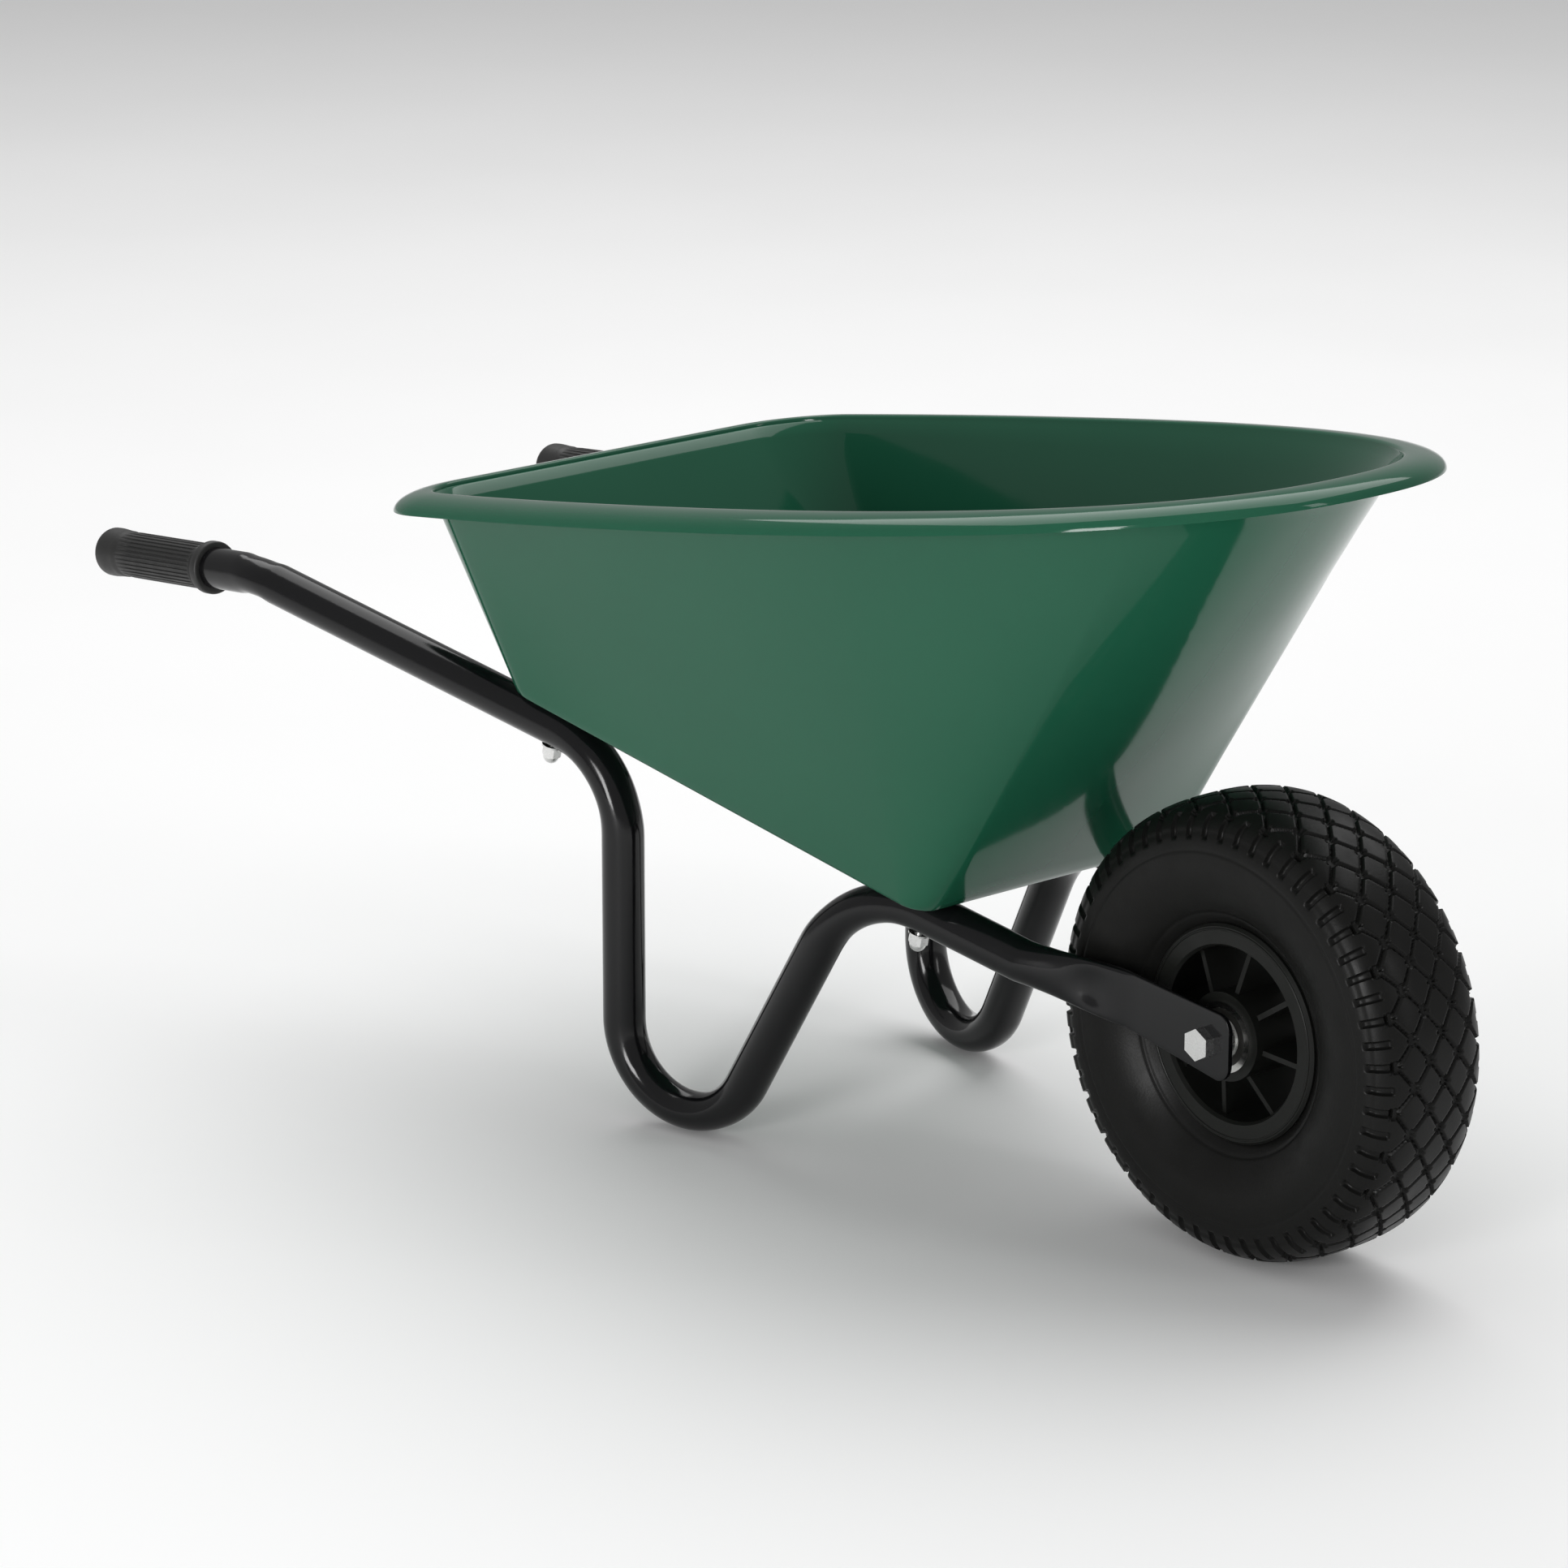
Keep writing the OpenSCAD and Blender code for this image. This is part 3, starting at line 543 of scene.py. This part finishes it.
def block_grooves(a, y):
    """Crossed grooves, with a small cross where they meet."""
    u, v = a + y / BLOCK_W, a - y / BLOCK_W
    round_mm = 2 * np.pi * WHEEL_R / BLOCKS
    spacing = 1 / math.hypot(1 / round_mm, 1 / BLOCK_W)
    grooves = [ramp((GROOVE_HALF - from_whole(q) * spacing) / GROOVE_EDGE) for q in (u, v)]
    arc = np.abs(a - np.round(a * 2) / 2) * round_mm
    row = np.abs(y - np.round(y / BLOCK_W * 2) / 2 * BLOCK_W)
    along = np.maximum(arc - CROSS_ARM, row - CROSS_HALF)
    athwart = np.maximum(row - CROSS_ARM, arc - CROSS_HALF)
    cross = ramp(-np.minimum(along, athwart) / CROSS_EDGE) * (from_whole(u) + from_whole(v) < CROSS_REACH)
    return np.maximum(np.maximum(*grooves), cross)


def tread_depth(angle, r, y):
    """How far each point is cut in, in millimetres."""
    turns = angle / (2 * np.pi)
    tread = ramp((TREAD_HALF - np.abs(y)) / 1.5) * (r > TREAD_LOW_R)
    depth = GROOVE_DEPTH * block_grooves(turns * BLOCKS, y) * tread
    slot = ramp((LUG_HALF - from_whole(turns * LUGS) * 2 * np.pi * LUG_R / LUGS) / 0.9)
    depth += LUG_DEPTH * slot * ramp((r - LUG_LOW_R) / 2.5) * ramp(np.abs(y) - LUG_Y)
    depth += fine_line(np.abs(y), *EDGE_LINE) * (r > 108) * (r < 116)
    depth += fine_line(r, *SIDE_LINE) * (np.abs(y) > 30)
    return depth + fine_line(r, *BEAD_LINE)


def make_tyre():
    half = tyre_profile()
    outer = np.concatenate([half[::-1] * [1, -1], half[1:]])
    slope = np.gradient(outer, axis=0)
    normal = np.stack([slope[:, 1], -slope[:, 0]], axis=1)
    normal /= np.linalg.norm(normal, axis=1)[:, None]
    normal *= np.sign(normal[len(normal) // 2, 0])
    angle = np.linspace(0, 2 * np.pi, TURN_STEPS, endpoint=False)[:, None]
    depth = tread_depth(angle, outer[None, :, 0], outer[None, :, 1])
    inner = np.broadcast_to(np.array(INNER_SKIN), (TURN_STEPS, len(INNER_SKIN), 2))
    r = np.concatenate([outer[None, :, 0] - depth * normal[None, :, 0], inner[:, :, 0]], axis=1)
    y = np.concatenate([outer[None, :, 1] - depth * normal[None, :, 1], inner[:, :, 1]], axis=1)
    verts = np.stack([r * np.cos(angle), y, WHEEL_R + r * np.sin(angle)], axis=2).reshape(-1, 3)
    piece("tyre_tread", verts.tolist(), skin(TURN_STEPS, r.shape[1], around=True), TYRE,
          "wheel", ["tyre"], 60)


# ---- rim lines ----
RIM_LINE_R, RIM_LINE_THICK, RIM_LINE_Y = 58.8, 0.7, 29.9
RIM_LINE_TURN, RIM_LINE_AROUND = 160, 10


def make_rim_line(word, side):
    """A thin raised line round the rim's flange."""
    verts = []
    for i in range(RIM_LINE_TURN):
        a = 2 * math.pi * i / RIM_LINE_TURN
        for j in range(RIM_LINE_AROUND):
            b = 2 * math.pi * j / RIM_LINE_AROUND
            r = RIM_LINE_R + RIM_LINE_THICK * math.cos(b)
            y = side * RIM_LINE_Y + RIM_LINE_THICK * math.sin(b)
            verts.append((r * math.cos(a), y, WHEEL_R + r * math.sin(a)))
    faces = skin(RIM_LINE_TURN, RIM_LINE_AROUND, around=True)
    piece("rim_line_" + word, verts, faces, RIM, "wheel")


# ---- CAD pieces that keep their shape ----
FINISH = {
    "wheel_rim": RIM, "tray_bolts": ZINC, "spacer_washers": ZINC, "tube_washers": ZINC, "dome_nuts": ZINC,
    "axle_bolt": ZINC, "axle_sleeve": ZINC, "axle_washer": ZINC, "axle_nut": ZINC, "end_spacer_left": ZINC,
    "end_spacer_right": ZINC, "centre_spacer": ZINC, "inner_race_left": STEEL, "inner_race_right": STEEL,
    "outer_race_left": STEEL, "outer_race_right": STEEL, "bearing_balls_left": STEEL,
    "bearing_balls_right": STEEL, "bearing_shield_left": SEAL, "bearing_shield_right": SEAL,
}
# The width of each softened edge, in millimetres.
SOFT_EDGES = {"wheel_rim": 0.5, "axle_bolt": 0.5, "axle_nut": 0.5, "dome_nuts": 0.3, "end_spacer_right": 0.4,
              "end_spacer_left": 0.4, "axle_washer": 0.3}


def finish_cad():
    for name, material in FINISH.items():
        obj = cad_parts[name]
        for slot in obj.material_slots:
            slot.material = material
        if name in SOFT_EDGES:
            bevel = obj.modifiers.new("soft_edges", "BEVEL")
            bevel.width = SOFT_EDGES[name] * MM
            bevel.segments = 2
            bevel.limit_method = "ANGLE"
            bevel.angle_limit = math.radians(40)
            bevel.use_clamp_overlap = True


# ---- stage, in metres ----
FLOOR_HALF, FLOOR_WHITE, WORLD_STRENGTH = 30, 0.94, 0.38
# (name, place, target, size, power)
LIGHTS = [
    ("overhead", (-0.8, 1.1, 3.2), (0, 0, 0), (4.2, 3.4), 100),
    ("key", (1.1, -3.0, 0.75), (0, 0, 0.25), (0.8, 1.3), 50),
    ("side", (3.1, 0.9, 1.5), (0.2, 0, 0.2), (0.5, 1.6), 9),
]
LENS, SHIFT = 138.46, (0.0037, 0.0006)
CAMERA_PLACE = AXLE + Vector((2.1649, -2.2725, 1.0404))
CAMERA_TARGET = AXLE + Vector((-0.2586, -0.1286, 0.1041))


def aim(name, data, place, target):
    """An object for a light or camera, looking from place to target."""
    obj = bpy.data.objects.new(name, data)
    obj.location = place
    obj.rotation_euler = (Vector(target) - Vector(place)).to_track_quat("-Z", "Y").to_euler()
    bpy.context.scene.collection.objects.link(obj)
    return obj


def make_floor():
    mesh = bpy.data.meshes.new("floor")
    corners = [(-1, -1), (1, -1), (1, 1), (-1, 1)]
    mesh.from_pydata([(x * FLOOR_HALF, y * FLOOR_HALF, 0) for x, y in corners], [], [(0, 1, 2, 3)])
    floor = bpy.data.objects.new("floor", mesh)
    bpy.context.scene.collection.objects.link(floor)
    mat, bsdf = shader("floor", (FLOOR_WHITE, FLOOR_WHITE, FLOOR_WHITE), 0.7)
    vary(mat, bsdf, "Roughness", noise(mat, 3), 0.65, 0.8)
    mesh.materials.append(mat)


def make_lights():
    world = bpy.data.worlds.new("studio")
    world.use_nodes = True
    background = world.node_tree.nodes["Background"]
    background.inputs["Color"].default_value = (1, 1, 1, 1)
    background.inputs["Strength"].default_value = WORLD_STRENGTH
    bpy.context.scene.world = world
    bpy.context.scene.view_settings.view_transform = "Standard"
    for name, place, target, size, power in LIGHTS:
        light = bpy.data.lights.new(name, "AREA")
        light.shape = "RECTANGLE"
        light.size, light.size_y = size
        light.energy = power
        aim(name, light, place, target)


def make_camera():
    data = bpy.data.cameras.new("camera")
    data.sensor_width = 36
    data.lens = LENS
    data.shift_x, data.shift_y = SHIFT
    data.clip_end = 200
    bpy.context.scene.camera = aim("camera", data, CAMERA_PLACE, CAMERA_TARGET)


make_camera()
make_floor()
make_lights()
make_tray()
for word, sign in SIDES.items():
    make_tube(word, sign)
    make_grip(word, sign)
make_tyre()
for word, sign in SIDES.items():
    make_rim_line(word, sign)
finish_cad()
